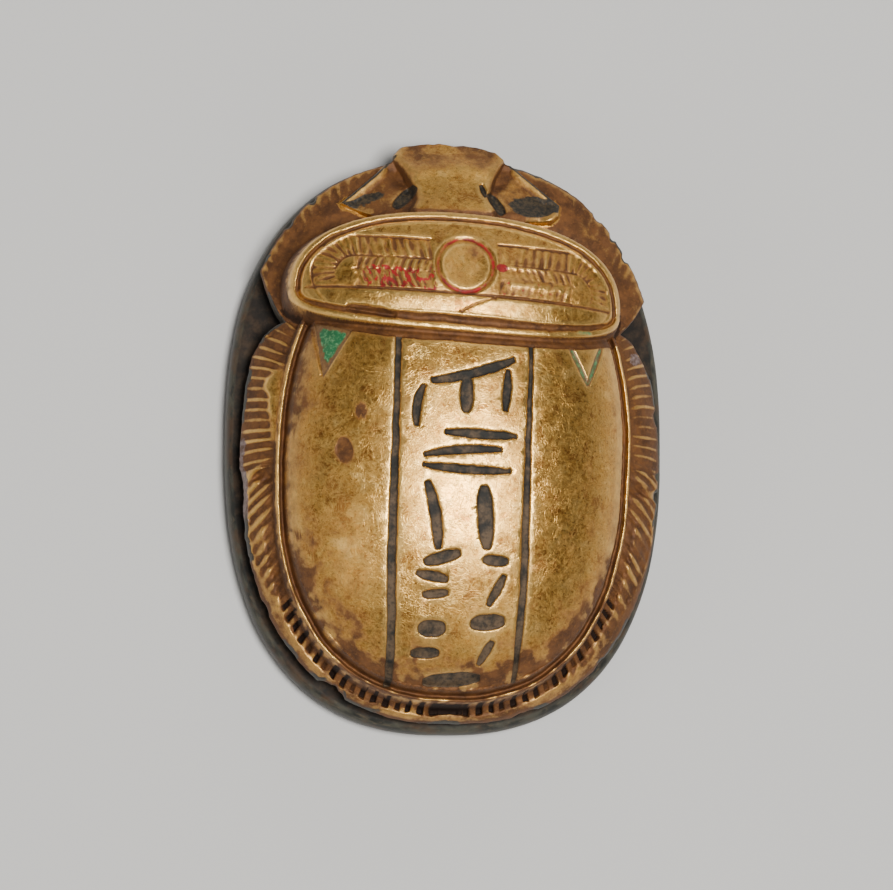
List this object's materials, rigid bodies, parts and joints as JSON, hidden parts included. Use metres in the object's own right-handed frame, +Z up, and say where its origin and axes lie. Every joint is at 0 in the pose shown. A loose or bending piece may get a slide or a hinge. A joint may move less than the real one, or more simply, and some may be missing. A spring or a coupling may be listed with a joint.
{
  "type": "scarab amulet",
  "caption": "Heart scarab amulet: a carved, gilded stone beetle with an engraved wing case, on an undercut oval base.",
  "frame": {"origin": "centre of the bounding box, on the underside that the scarab rests on", "axes": "+Y towards the beetle's head, +X to its right side, +Z up out of its back"},
  "size_m": [0.05, 0.067, 0.0263],
  "materials": {
    "gilded_stone": "dark grey-green stone, worn gold leaf on the upper surfaces"
  },
  "bodies": {
    "root": {"scarab": "gilded_stone"}
  },
  "joints": []
}
